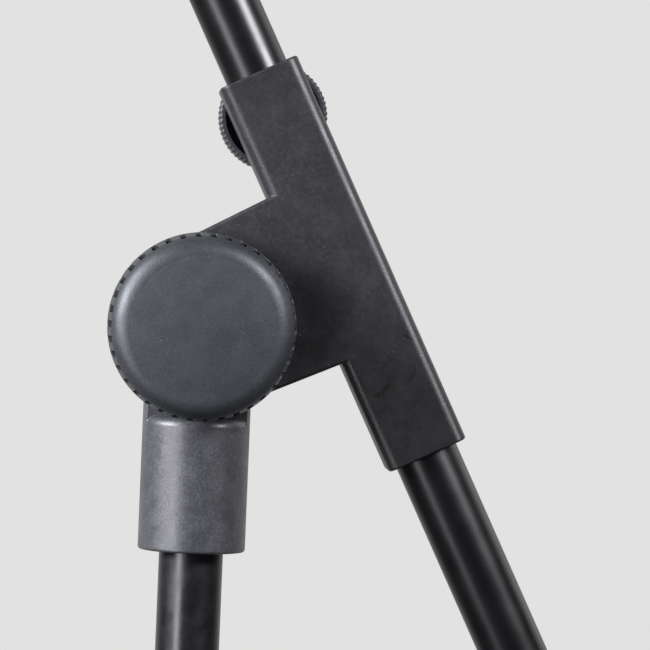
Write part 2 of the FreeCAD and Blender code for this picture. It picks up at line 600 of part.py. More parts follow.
def build_tilt_knob():
    """Cup-shaped clamping knob with a notched rim, on a threaded insert."""
    knob = make_body("tilt_knob")
    edge_start = "knob_height - knob_edge"
    boss_bore = "insert_radius + seat_gap"
    corners = [
        (boss_bore, "0"), ("knob_boss_radius", "0"), ("knob_boss_radius", "knob_cavity"),
        ("knob_cavity_radius", "knob_cavity"), ("knob_cavity_radius", "0"), ("knob_radius", "0"),
        ("knob_front_radius", edge_start)]
    for angle in KNOB_EDGE_ANGLES:
        corners.append(("knob_front_radius - knob_edge * (1 - cos(%d))" % angle,
                        edge_start + " + knob_edge * sin(%d)" % angle))
    corners += [("0", "knob_height"), ("0", "knob_bore_depth"), (boss_bore, "knob_bore_depth")]
    turn(knob, "shell", corners)
    notch_sketch = make_sketch(knob, "notch_outline", "XY_Plane", "-notch_depth")
    inside = "knob_front_radius - notch_depth"
    outside = "knob_radius + notch_depth"
    add_outline(notch_sketch, [(inside, "-notch_width / 2"), (outside, "-notch_width / 2"),
                               (outside, "notch_width / 2"), (inside, "notch_width / 2")])
    notch = pocket(knob, "notch", notch_sketch, "knob_height - notch_top + notch_depth", flip=True)
    repeat_round(knob, "notches", [notch], "knob_notches")
    place(knob, "0", "-" + KNOB_BACK, "pivot_height", TO_FRONT)

    insert = make_body("tilt_knob_insert")
    bore = "pivot_bolt_radius + running_gap"
    turn(insert, "ring", [(bore, "0"), ("insert_radius", "0"), ("insert_radius", "insert_length"),
                          (bore, "insert_length")])
    place(insert, "0", "-" + KNOB_BACK, "pivot_height", TO_FRONT)


def build_boom_lock():
    """Small cup knob on a screw, and the pad that the screw presses on the boom."""
    knob = make_body("boom_lock_knob")
    screw_bore = "lock_screw_radius + seat_gap"
    hollow = "lock_knob_radius - lock_knob_wall"
    turn(knob, "cup", [
        (screw_bore, "lock_knob_cavity"), (hollow, "lock_knob_cavity"), (hollow, "0"),
        ("lock_knob_radius - lock_knob_edge / 2", "0"), ("lock_knob_radius", "lock_knob_edge / 2"),
        ("lock_knob_radius", "lock_knob_height - lock_knob_edge"),
        ("lock_knob_radius - lock_knob_edge", "lock_knob_height"), ("0", "lock_knob_height"),
        ("0", "lock_knob_cavity + lock_screw_sink"), (screw_bore, "lock_knob_cavity + lock_screw_sink")])
    rim = "-%s + lock_knob_gap" % SLEEVE_BACK
    place_on_tilt(knob, "boom_offset", rim, LOCK_RISE, TILT * TO_BACK)

    pad_face = "-%s + boom_outer / 2 + running_gap" % BOOM_DEPTH
    screw = make_body("boom_lock_screw")
    screw_tip = pad_face + " + lock_pad_thickness"
    length = "%s + lock_knob_cavity + lock_screw_sink - (%s)" % (rim, screw_tip)
    turn(screw, "shank", [("0", "0"), ("lock_screw_radius", "0"), ("lock_screw_radius", length),
                          ("0", length)])
    place_on_tilt(screw, "boom_offset", screw_tip, LOCK_RISE, TILT * TO_BACK)

    lock_pad = make_body("lock_pad")
    turn(lock_pad, "disc", [("0", "0"), ("lock_pad_radius", "0"),
                            ("lock_pad_radius", "lock_pad_thickness"), ("0", "lock_pad_thickness")])
    place_on_tilt(lock_pad, "boom_offset", pad_face, LOCK_RISE, TILT * TO_BACK)


def build_boom():
    """Boom tube, rubber cap on its tail, and a plug with a threaded stud for the microphone clip."""
    depth = "-" + BOOM_DEPTH
    tube = make_tube("boom_tube", "boom_outer", "boom_wall", "boom_reach + boom_tail")
    place_on_tilt(tube, "boom_offset", depth, "-boom_tail", TILT)

    cap = make_body("tail_cap")
    bore = "boom_outer / 2 + seat_gap"
    turn(cap, "cap", [
        ("0", "-cap_end"), ("cap_radius - cap_round", "-cap_end"), ("cap_radius", "cap_round - cap_end"),
        ("cap_radius", "cap_depth - cap_end - cap_lip"), ("cap_radius - cap_lip", "cap_depth - cap_end"),
        (bore, "cap_depth - cap_end"), (bore, "-seat_gap"), ("0", "-seat_gap")])
    place_on_tilt(cap, "boom_offset", depth, "-boom_tail", TILT)

    plug = make_body("mic_end_plug")
    inside = "boom_outer / 2 - boom_wall - seat_gap"
    stud_bore = "mic_stud_root_radius + seat_gap"
    turn(plug, "plug", [
        ("0", "-mic_plug_depth"), (inside, "-mic_plug_depth"), (inside, "0"), ("mic_plug_radius", "0"),
        ("mic_plug_radius", "mic_plug_collar - mic_plug_edge"),
        ("mic_plug_radius - mic_plug_edge", "mic_plug_collar"), (stud_bore, "mic_plug_collar"),
        (stud_bore, "mic_plug_collar - mic_stud_sink"), ("0", "mic_plug_collar - mic_stud_sink")])
    place_on_tilt(plug, "boom_offset", depth, "boom_reach", TILT)

    stud = make_body("mic_stud")
    foot = "mic_plug_collar - mic_stud_sink + seat_gap"
    top = "mic_plug_collar + mic_stud_length"
    turn(stud, "shank", [
        ("0", foot), ("mic_stud_root_radius", foot), ("mic_stud_root_radius", "mic_plug_collar"),
        ("mic_stud_radius", "mic_plug_collar"), ("mic_stud_radius", top), ("0", top)])
    place_on_tilt(stud, "boom_offset", depth, "boom_reach", TILT)


# --- build, check and write ---------------------------------------------------------------------

def build_all():
    build_hub()
    leg_count = int(value("leg_count"))
    for number in range(1, leg_count + 1):
        build_leg(number, FIRST_LEG_AZIMUTH + (number - 1) * 360 // leg_count)
    build_column()
    build_post()
    build_socket()
    build_pivot_stack()
    build_bracket()
    build_tilt_knob()
    build_boom_lock()
    build_boom()
    DOC.recompute()


def check_and_write():
    """Stop on any failed feature or bad shape, then write one STEP file for each piece."""
    for item in DOC.Objects:
        if "Invalid" in item.State or "Error" in item.State:
            raise RuntimeError("%s failed: %s" % (item.Label, item.State))
    bodies = [item for item in DOC.Objects if item.isDerivedFrom("PartDesign::Body")]
    for body in bodies:
        if body.Shape.isNull() or not body.Shape.isValid():
            raise RuntimeError("%s has a bad shape" % body.Label)
    os.makedirs(FOLDER, exist_ok=True)
    for body in bodies:
        body.Shape.exportStep(os.path.join(FOLDER, body.Label + ".step"))
        print("%-18s %2d solid %10.1f mm3" % (body.Label, len(body.Shape.Solids), body.Shape.Volume))


build_all()
check_and_write()
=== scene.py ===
"""Looks of a boom microphone stand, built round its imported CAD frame.

Places, and the sizes in the materials and on the stage, are in metres in the row frame, +Z up.
Pieces are shaped in millimetres of a local frame, and place_mesh brings them to the row frame.
The camera sees the tilt clutch from the front, along +Y.
"""
import json
import math

import bmesh
import bpy
from mathutils import Matrix, Vector


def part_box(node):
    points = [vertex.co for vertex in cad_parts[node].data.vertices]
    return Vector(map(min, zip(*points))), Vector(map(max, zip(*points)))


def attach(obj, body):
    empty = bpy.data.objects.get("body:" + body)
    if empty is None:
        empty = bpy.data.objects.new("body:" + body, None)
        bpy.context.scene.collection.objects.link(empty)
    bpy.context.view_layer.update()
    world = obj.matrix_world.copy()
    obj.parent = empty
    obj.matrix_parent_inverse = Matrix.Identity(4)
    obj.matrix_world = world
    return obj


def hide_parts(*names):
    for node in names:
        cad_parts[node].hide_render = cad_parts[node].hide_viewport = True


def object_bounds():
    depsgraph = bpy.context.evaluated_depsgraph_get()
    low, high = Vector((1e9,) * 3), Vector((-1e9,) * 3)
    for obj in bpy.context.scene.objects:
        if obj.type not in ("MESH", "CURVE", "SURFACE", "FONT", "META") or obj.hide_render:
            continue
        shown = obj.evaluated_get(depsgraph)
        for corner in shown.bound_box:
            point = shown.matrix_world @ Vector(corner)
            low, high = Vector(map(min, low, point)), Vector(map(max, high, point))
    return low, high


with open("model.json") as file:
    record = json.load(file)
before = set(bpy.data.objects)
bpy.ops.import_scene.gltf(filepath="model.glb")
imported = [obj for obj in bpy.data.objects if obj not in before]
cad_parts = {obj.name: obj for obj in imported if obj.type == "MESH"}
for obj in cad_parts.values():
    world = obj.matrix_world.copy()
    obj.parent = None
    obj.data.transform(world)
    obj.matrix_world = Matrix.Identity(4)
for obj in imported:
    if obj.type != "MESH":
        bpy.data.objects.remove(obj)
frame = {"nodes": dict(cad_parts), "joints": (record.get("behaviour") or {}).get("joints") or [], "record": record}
CAD_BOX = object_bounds()
NODES = frame["nodes"]
MM = 0.001
TURN = 2 * math.pi


# --- places taken from the frame ----------------------------------------------------------------

def joint(name):
    return next(item for item in frame["joints"] if item["name"] == name)


def local_frame(origin, across, back, up):
    """The matrix of a frame with these axes at a point."""
    matrix = Matrix((across, back, up)).transposed().to_4x4()
    matrix.translation = origin
    return matrix


RIGHT = Vector((1, 0, 0))
BACK = Vector((0, 1, 0))
UP = Vector((0, 0, 1))
BOOM = Vector(joint("boom_slide")["axis"]).normalized()
ACROSS = Vector((BOOM.z, 0, -BOOM.x))
PIVOT = Vector(joint("boom_tilt")["pos_m"])
PIVOT.y = 0
# frames about the pivot, along the boom and along the post
TILTED = local_frame(PIVOT, ACROSS, BACK, BOOM)
UPRIGHT = local_frame(PIVOT, RIGHT, BACK, UP)


def local_box(node, matrix):
    """Lowest and highest corner of a CAD node in a local frame, in millimetres."""
    to_local = Matrix.Scale(1 / MM, 4) @ matrix.inverted()
    points = [to_local @ vertex.co for vertex in NODES[node].data.vertices]
    low = Vector([min(point[axis] for point in points) for axis in range(3)])
    high = Vector([max(point[axis] for point in points) for axis in range(3)])
    return low, high


def middle(corners):
    low, high = corners
    return (low + high) / 2


def half_width(corners):
    low, high = corners
    return (high.x - low.x) / 2


# --- meshes -------------------------------------------------------------------------------------

# a distance too small to see, which keeps points apart, and an allowance for rounding errors
HAIR = 0.001
ROUNDING = 1e-6


def link_object(name, data):
    """A new object in the scene."""
    made = bpy.data.objects.new(name, data)
    bpy.context.scene.collection.objects.link(made)
    return made


def to_mesh(bm):
    """A mesh from a bmesh, which is used up. Its normals face outwards."""
    bmesh.ops.recalc_face_normals(bm, faces=bm.faces)
    mesh = bpy.data.meshes.new("mesh")
    bm.to_mesh(mesh)
    bm.free()
    return mesh


def place_mesh(name, mesh, matrix, crease):
    """An object from a mesh in millimetres of a local frame.

    It is shaded smooth, but for edges that bend by more than crease, in degrees.
    """
    mesh.name = name
    mesh.transform(matrix @ Matrix.Scale(MM, 4))
    mesh.shade_smooth()
    mesh.set_sharp_from_angle(angle=math.radians(crease))
    return link_object(name, mesh)


def even_angles(count):
    return [TURN * step / count for step in range(count)]


def circle_points(radius, angles):
    return [(radius * math.cos(angle), radius * math.sin(angle)) for angle in angles]


def arc(across, along, radius, start, end, steps):
    """Points of an arc about a centre, with its angles in degrees."""
    angles = [math.radians(start + (end - start) * step / steps) for step in range(steps + 1)]
    return [(across + x, along + y) for x, y in circle_points(radius, angles)]


def skin(bm, rows):
    """Faces between neighbouring rows of points. A row is a ring, or a single point."""
    for low, high in zip(rows, rows[1:]):
        count = max(len(low), len(high))
        for step in range(count):
            following = (step + 1) % count
            corners = [low[step % len(low)], low[following % len(low)],
                       high[following % len(high)], high[step % len(high)]]
            unique = list(dict.fromkeys(corners))
            if len(unique) > 2:
                bm.faces.new(unique)


def revolve(profile, angles, shape=None):
    """Turn a profile of (radius, height) points round local Z.

    shape(angle, radius, height) may return another radius and height for a point.
    """
    bm = bmesh.new()
    rows = []
    for radius, height in profile:
        if radius == 0:
            rows.append([bm.verts.new((0, 0, height))])
            continue
        row = []
        for angle in angles:
            across, along = shape(angle, radius, height) if shape else (radius, height)
            row.append(bm.verts.new((across * math.cos(angle), across * math.sin(angle), along)))
        rows.append(row)
    skin(bm, rows)
    return bm


def make_bar(radius, low, high, steps):
    """A plain round bar along local Z."""
    return revolve([(0, low), (radius, low), (radius, high), (0, high)], even_angles(steps))


def make_prism(outline, low, high):
    """Solid of an outline in local X and Z between two places on local Y."""
    bm = bmesh.new()
    face = bm.faces.new([bm.verts.new((x, low, z)) for x, z in outline])
    made = bmesh.ops.extrude_face_region(bm, geom=[face])
    moved = [item for item in made["geom"] if isinstance(item, bmesh.types.BMVert)]
    bmesh.ops.translate(bm, verts=moved, vec=(0, high - low, 0))
    return bm


def make_blank(bm, matrix=Matrix.Identity(4)):
    """A solid to be combined with others, placed by a matrix in millimetres."""
    bm.transform(matrix)
    return link_object("blank", to_mesh(bm))


def combined(base, others):
    """One mesh from base, given (blank, operation) pairs of what is joined to or cut from it."""
    for other, operation in others:
        modifier = base.modifiers.new("combine", "BOOLEAN")
        modifier.object = other
        modifier.operation = operation
        modifier.solver = "EXACT"
    depsgraph = bpy.context.evaluated_depsgraph_get()
    mesh = bpy.data.meshes.new_from_object(base.evaluated_get(depsgraph))
    for item in [base] + [other for other, operation in others]:
        bpy.data.objects.remove(item)
    return mesh


# --- shader nodes -------------------------------------------------------------------------------

# sockets of the Mix node when it mixes colours
MIX_FIRST = 6
MIX_SECOND = 7
MIX_RESULT = 2


def add_node(tree, kind, settings=None, inputs=None):
    """A shader node with its settings, and its inputs set to values or linked to sockets."""
    node = tree.nodes.new(kind)
    for name, value in (settings or {}).items():
        setattr(node, name, value)
    for name, value in (inputs or {}).items():
        if isinstance(value, bpy.types.NodeSocket):
            tree.links.new(value, node.inputs[name])
        else:
            node.inputs[name].default_value = value
    return node


def grey(level, tint=(1.0, 1.0, 1.0)):
    return (level * tint[0], level * tint[1], level * tint[2], 1.0)


def noise_value(tree, place, size, detail=3.0, rough=0.6, distortion=0.0):
    """Noise with features of a size, from 0 to 1."""
    return add_node(tree, "ShaderNodeTexNoise", {}, {
        "Vector": place, "Scale": 1 / size, "Detail": detail, "Roughness": rough,
        "Distortion": distortion}).outputs["Fac"]


def remap(tree, value, low, high, to_low=0.0, to_high=1.0):
    """A value eased from the range low to high into another range."""
    return add_node(tree, "ShaderNodeMapRange", {"interpolation_type": "SMOOTHSTEP"}, {
        "Value": value, "From Min": low, "From Max": high, "To Min": to_low,
        "To Max": to_high}).outputs["Result"]


def combine(tree, operation, first, second):
    return add_node(tree, "ShaderNodeMath", {"operation": operation},
                    {0: first, 1: second}).outputs[0]


def product(tree, first, *others):
    for other in others:
        first = combine(tree, "MULTIPLY", first, other)
    return first


def mix_colour(tree, factor, first, second):
    return add_node(tree, "ShaderNodeMix", {"data_type": "RGBA"}, {
        "Factor": factor, MIX_FIRST: first, MIX_SECOND: second}).outputs[MIX_RESULT]


# --- materials ----------------------------------------------------------------------------------

# most of a noise's values lie between these two
NOISE_SPAN = (0.3, 0.7)
EDGE_ROUNDING = 0.0004
EDGE_SAMPLES = 6
WEAR_PATCH = 0.003
WEAR_STRENGTH = 0.5
# size of the blotches in a painted shadow
PAINTED_SHADOW_PATCH = 0.012


class Finish:
    """One material, built up in layers. Sharp edges are shaded as if they were rounded."""

    def __init__(self, name, colour):
        self.material = bpy.data.materials.new(name)
        self.material.use_nodes = True
        self.tree = self.material.node_tree
        self.shader = self.tree.nodes["Principled BSDF"]
        self.place = add_node(self.tree, "ShaderNodeTexCoord").outputs["Object"]
        self.rounded = add_node(self.tree, "ShaderNodeBevel", {"samples": EDGE_SAMPLES},
                                {"Radius": EDGE_ROUNDING}).outputs["Normal"]
        self.normal = self.rounded
        self.colour = colour

    def noise(self, size, **settings):
        return noise_value(self.tree, self.place, size, **settings)

    def tone(self, mask, colour):
        self.colour = mix_colour(self.tree, mask, self.colour, colour)

    def near(self, centre, inner, outer):
        """1 within inner of a place, falling to 0 at outer."""
        away = add_node(self.tree, "ShaderNodeVectorMath", {"operation": "DISTANCE"},
                        {0: self.place, 1: tuple(centre)}).outputs["Value"]
        return remap(self.tree, away, outer, inner)

    def lines(self, size, width, core, **settings):
        """Thin wandering lines where a noise is within width of its middle, full within core."""
        above = combine(self.tree, "SUBTRACT", self.noise(size, **settings), 0.5)
        away = combine(self.tree, "ABSOLUTE", above, 0.0)
        return remap(self.tree, away, width, core)

    def mottle(self, size, colour, low=0.4, high=0.65, strength=1.0):
        """Soft patches of another colour."""
        self.tone(remap(self.tree, self.noise(size), low, high, 0.0, strength), colour)

    def vary_rough(self, size, low, high):
        """Roughness that wanders from low to high."""
        rough = remap(self.tree, self.noise(size), *NOISE_SPAN, low, high)
        self.tree.links.new(rough, self.shader.inputs["Roughness"])

    def grain(self, size, depth):
        """Moulded or sprayed texture."""
        self.normal = add_node(self.tree, "ShaderNodeBump", {}, {
            "Height": self.noise(size, detail=2.0), "Strength": 1.0, "Distance": depth,
            "Normal": self.normal}).outputs["Normal"]

    def specks(self, spacing, colour, share, radius):
        """Small dots of dust or wear on a share of the cells of a grid, with radius in cells."""
        cell = add_node(self.tree, "ShaderNodeTexVoronoi", {},
                        {"Vector": self.place, "Scale": 1 / spacing})
        dot = remap(self.tree, cell.outputs["Distance"], radius, radius * 0.6)
        pick = add_node(self.tree, "ShaderNodeSeparateColor", {}, {"Color": cell.outputs["Color"]})
        chosen = combine(self.tree, "LESS_THAN", pick.outputs[0], share)
        self.tone(product(self.tree, dot, chosen), colour)

    def scuffs(self, centre, reach, size, colour, width, strength):
        """Short curved rubs round one place."""
        line = self.lines(size, width, width * 0.3, detail=0.5, rough=0.5, distortion=0.6)
        gaps = remap(self.tree, self.noise(size * 0.8, detail=1.0, rough=0.5), 0.47, 0.56)
        around = self.near(centre, reach * 0.6, reach)
        self.tone(product(self.tree, line, gaps, around, strength), colour)

    def scratches(self, size, colour, width, region, strength, cover=0.55):
        """Thin scratches, only inside some regions of the surface."""
        line = self.lines(size, width, 0.0, detail=1.0, rough=0.5, distortion=0.4)
        where = remap(self.tree, self.noise(region, detail=2.0, rough=0.5), cover, cover + 0.12)
        self.tone(product(self.tree, line, where, strength), colour)

    def painted_shadow(self, centre, inner, outer, strength):
        """Painted shadow round a place: a darker colour fading from inner to outer."""
        blotch = remap(self.tree, self.noise(PAINTED_SHADOW_PATCH), 0.2, 0.7, 0.8 * strength, strength)
        self.tone(product(self.tree, self.near(centre, inner, outer), blotch), grey(0.0))

    def edge_wear(self, colour):
        """Rubbed edges, in patches, where the rounded normal leaves the true one."""
        flat = add_node(self.tree, "ShaderNodeNewGeometry").outputs["Normal"]
        agree = add_node(self.tree, "ShaderNodeVectorMath", {"operation": "DOT_PRODUCT"},
                         {0: self.rounded, 1: flat}).outputs["Value"]
        worn = remap(self.tree, agree, 0.99, 0.93)
        patch = remap(self.tree, self.noise(WEAR_PATCH, detail=4.0, rough=0.7), 0.4, 0.62)
        self.tone(product(self.tree, worn, patch, WEAR_STRENGTH), colour)

    def painted_recess_shade(self, colour):
        """Painted shade in the recesses that the mesh marks."""
        mark = add_node(self.tree, "ShaderNodeAttribute", {"attribute_name": "painted_recess_shade"})
        self.tone(mark.outputs["Fac"], colour)

    def build(self, **sockets):
        """The finished material, with more of the shader's sockets set by name."""
        self.tree.links.new(self.normal, self.shader.inputs["Normal"])
        self.tree.links.new(self.colour, self.shader.inputs["Base Color"])
        for name, value in sockets.items():
            self.shader.inputs[name.replace("_", " ")].default_value = value
        return self.material


# tints of the greys
COOL = (1.0, 0.985, 1.13)
BLUISH = (0.96, 1.0, 1.15)
STEELY = (0.975, 1.0, 1.12)


def on_bracket(across, along):
    """A place on the bracket's front, in millimetres across and along the boom from the pivot."""
    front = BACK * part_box("boom_bracket")[0].y
    return PIVOT + front + (ACROSS * across + BOOM * along) * MM


def make_bracket_plastic():
    finish = Finish("bracket_plastic", grey(0.022, COOL))
    finish.mottle(0.0008, grey(0.045, COOL), low=0.42, high=0.7, strength=0.6)
    finish.mottle(0.006, grey(0.03, COOL), low=0.45, high=0.7, strength=0.5)
    finish.mottle(0.03, grey(0.014, COOL), strength=0.4)
    # painted shadow of the tilt knob, on the arm beside it and on the lower end of the sleeve
    finish.painted_shadow(on_bracket(19, -8), inner=0.006, outer=0.021, strength=0.8)
    finish.painted_shadow(on_bracket(38, -50), inner=0.01, outer=0.042, strength=0.62)
    finish.scuffs(on_bracket(40, -30), reach=0.018, size=0.009, colour=grey(0.002),
                  width=0.035, strength=0.9)
    finish.scratches(0.008, grey(0.004), width=0.01, region=0.018, strength=0.8, cover=0.54)
    finish.specks(0.0012, grey(0.16), share=0.1, radius=0.11)
    finish.vary_rough(0.005, 0.38, 0.46)
    finish.grain(0.0004, 0.00003)
    finish.edge_wear(grey(0.1, COOL))
    return finish.build(Specular_IOR_Level=0.75)


def make_knob_plastic():
    finish = Finish("knob_plastic", grey(0.022, BLUISH))
    finish.mottle(0.00035, grey(0.06, BLUISH), low=0.38, high=0.7, strength=0.7)
    finish.mottle(0.00025, grey(0.018, BLUISH), high=0.7, strength=0.5)
    finish.mottle(0.009, grey(0.028, BLUISH), high=0.7, strength=0.6)
    finish.scratches(0.014, grey(0.02), width=0.006, region=0.02, strength=0.5, cover=0.56)
    finish.specks(0.002, grey(0.3), share=0.06, radius=0.06)
    finish.vary_rough(0.005, 0.46, 0.54)
    finish.grain(0.00035, 0.00005)
    # the notch floors are darkened as painted shade
    finish.painted_recess_shade(grey(0.004))
    return finish.build(Specular_IOR_Level=1.0, Specular_Tint=(0.9, 0.95, 1.0, 1.0))


def make_socket_paint():
    finish = Finish("socket_paint", grey(0.057, STEELY))
    finish.mottle(0.0005, grey(0.115, STEELY), low=0.42, high=0.7, strength=0.7)
    finish.mottle(0.005, grey(0.042, STEELY), high=0.7, strength=0.6)
    finish.scratches(0.006, grey(0.012), width=0.01, region=0.016, strength=0.8, cover=0.52)
    finish.specks(0.003, grey(0.5), share=0.04, radius=0.04)
    finish.vary_rough(0.004, 0.34, 0.46)
    finish.grain(0.0004, 0.00003)
    finish.edge_wear(grey(0.16, STEELY))
    return finish.build(Specular_IOR_Level=1.0)


def make_tube_paint():
    finish = Finish("tube_paint", grey(0.003, COOL))
    finish.mottle(0.03, grey(0.005, COOL))
    finish.vary_rough(0.01, 0.28, 0.33)
    finish.grain(0.0015, 0.000002)
    return finish.build(Specular_IOR_Level=0.63)


def make_post_paint():
    finish = Finish("post_paint", grey(0.007, BLUISH))
    finish.mottle(0.004, grey(0.012, BLUISH))
    finish.vary_rough(0.006, 0.27, 0.36)
    finish.grain(0.0008, 0.000003)
    return finish.build(Specular_IOR_Level=1.0)


def make_hub_plastic():
    finish = Finish("hub_plastic", grey(0.028, COOL))
    finish.mottle(0.0015, grey(0.036, COOL), strength=0.7)
    finish.mottle(0.02, grey(0.022, COOL), strength=0.5)
    finish.scratches(0.012, grey(0.07), width=0.004, region=0.03, strength=0.4)
    finish.vary_rough(0.01, 0.45, 0.6)
    finish.grain(0.0005, 0.00002)
    finish.edge_wear(grey(0.09, COOL))
    return finish.build()


def make_foot_rubber():
    finish = Finish("foot_rubber", grey(0.018))
    finish.mottle(0.006, grey(0.03), strength=0.7)
    finish.specks(0.003, grey(0.12), share=0.08, radius=0.1)
    finish.vary_rough(0.006, 0.65, 0.85)
    finish.grain(0.0006, 0.00003)
    finish.edge_wear(grey(0.07))
    return finish.build()


def make_fastener_steel():
    finish = Finish("fastener_steel", grey(0.55, (1.0, 1.0, 1.02)))
    finish.mottle(0.002, grey(0.48, (1.0, 0.99, 0.97)), low=0.35, high=0.7)
    finish.scratches(0.004, grey(0.3), width=0.01, region=0.008, strength=0.25)
    finish.vary_rough(0.002, 0.26, 0.36)
    finish.grain(0.0004, 0.000008)
    return finish.build(Metallic=1.0)


def make_insert_brass():
    finish = Finish("insert_brass", (0.6, 0.42, 0.18, 1.0))
    finish.mottle(0.002, (0.45, 0.3, 0.13, 1.0))
    finish.vary_rough(0.001, 0.25, 0.45)
    finish.grain(0.0004, 0.000008)
    return finish.build(Metallic=1.0)


def make_bush_nylon():
    finish = Finish("bush_nylon", (0.62, 0.61, 0.56, 1.0))
    finish.mottle(0.003, (0.52, 0.5, 0.44, 1.0), strength=0.6)
    finish.vary_rough(0.003, 0.4, 0.55)
    finish.grain(0.0005, 0.00001)
    return finish.build()


MATERIALS = {
    "bracket_plastic": make_bracket_plastic(),
    "knob_plastic": make_knob_plastic(),
    "socket_paint": make_socket_paint(),
    "tube_paint": make_tube_paint(),
    "post_paint": make_post_paint(),
    "hub_plastic": make_hub_plastic(),
    "foot_rubber": make_foot_rubber(),
    "fastener_steel": make_fastener_steel(),
    "insert_brass": make_insert_brass(),
    "bush_nylon": make_bush_nylon(),
}
SLOT_OF_NODE = {item["node"]: item["material_slot"] for item in frame["record"]["subparts"]}


def dress(piece, slot):
    piece.data.materials.clear()
    piece.data.materials.append(MATERIALS[slot])


def stand_for(piece, node, body):
    """A piece takes a CAD node's place, body and finish."""
    dress(piece, SLOT_OF_NODE[node])
    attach(piece, body)
    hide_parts(node)


# --- tilt knob, with its local Z out of its face ------------------------------------------------

KNOB_CREASE_ANGLE = 40
# how much smaller the rim's radius is at the face than at the back
KNOB_TAPER = 0.8
KNOB_FILLET = 5.0
KNOB_FILLET_STEPS = 20
# slope of the domed face where it meets the fillet, in degrees
KNOB_LEAN = 7.0
# hub round the insert, and the hollow between it and the rim
KNOB_HUB_RADIUS = 9.0
KNOB_HUB_END = 0.6
KNOB_HOLLOW_RADIUS = 18.5
KNOB_HOLLOW_DEPTH = 11.0
KNOB_HOLLOW_EDGE = 0.2
KNOB_BACK_EDGE = 0.3
KNOB_WALL_ROWS = (4.0, 8.0)
FACE_RING_STEP = 2.5
FACE_RINGS = 6
# a faint dent along the edge of the face, deepest at one place, in radians round the knob
DENT_INSET = 0.5
DENT_WIDTH = 0.25
DENT_SURROUND = 0.7
DENT_DEPTH = 0.045
DENT_PLACE = 2.0
# notches in the rim, from NOTCH_LOW above its back to NOTCH_TOP below its face
NOTCHES = 38
NOTCH_PITCH = TURN / NOTCHES
NOTCH_WIDTH = 1.6
NOTCH_DEPTH = 0.7
NOTCH_LOW = 1.2
NOTCH_TOP = 3.4
NOTCH_DRAFT = 0.08
NOTCH_LOW_STEP = 0.05
NOTCH_TOP_STEP = 0.03
# columns of points on the land between two notches, as shares of the pitch
LAND_COLUMNS = (0.38, 0.5, 0.62)
# points further out than this below the rim's front radius are on the rim
RIM_BAND = 0.3


def notched_angles(radius):
    """Angles of columns of points that fall on both sides of each notch's walls."""
    half = NOTCH_WIDTH / 2 / radius
    draft = NOTCH_DRAFT / radius
    columns = [-half - draft, -half, 0, half, half + draft]
    columns += [NOTCH_PITCH * share for share in LAND_COLUMNS]
    return sorted((NOTCH_PITCH * notch + column) % TURN
                  for notch in range(NOTCHES) for column in columns)


def with_step(profile, inside, height):
    """The profile with two more points, just below and above a height, outside a radius."""
    stepped = []
    for first, second in zip(profile, profile[1:]):
        stepped.append(first)
        if first[0] > inside and first[1] < height < second[1]:
            share = (height - first[1]) / (second[1] - first[1])
            across = first[0] + (second[0] - first[0]) * share
            stepped += [(across, height - NOTCH_TOP_STEP), (across, height + HAIR)]
    stepped.append(profile[-1])
    return stepped


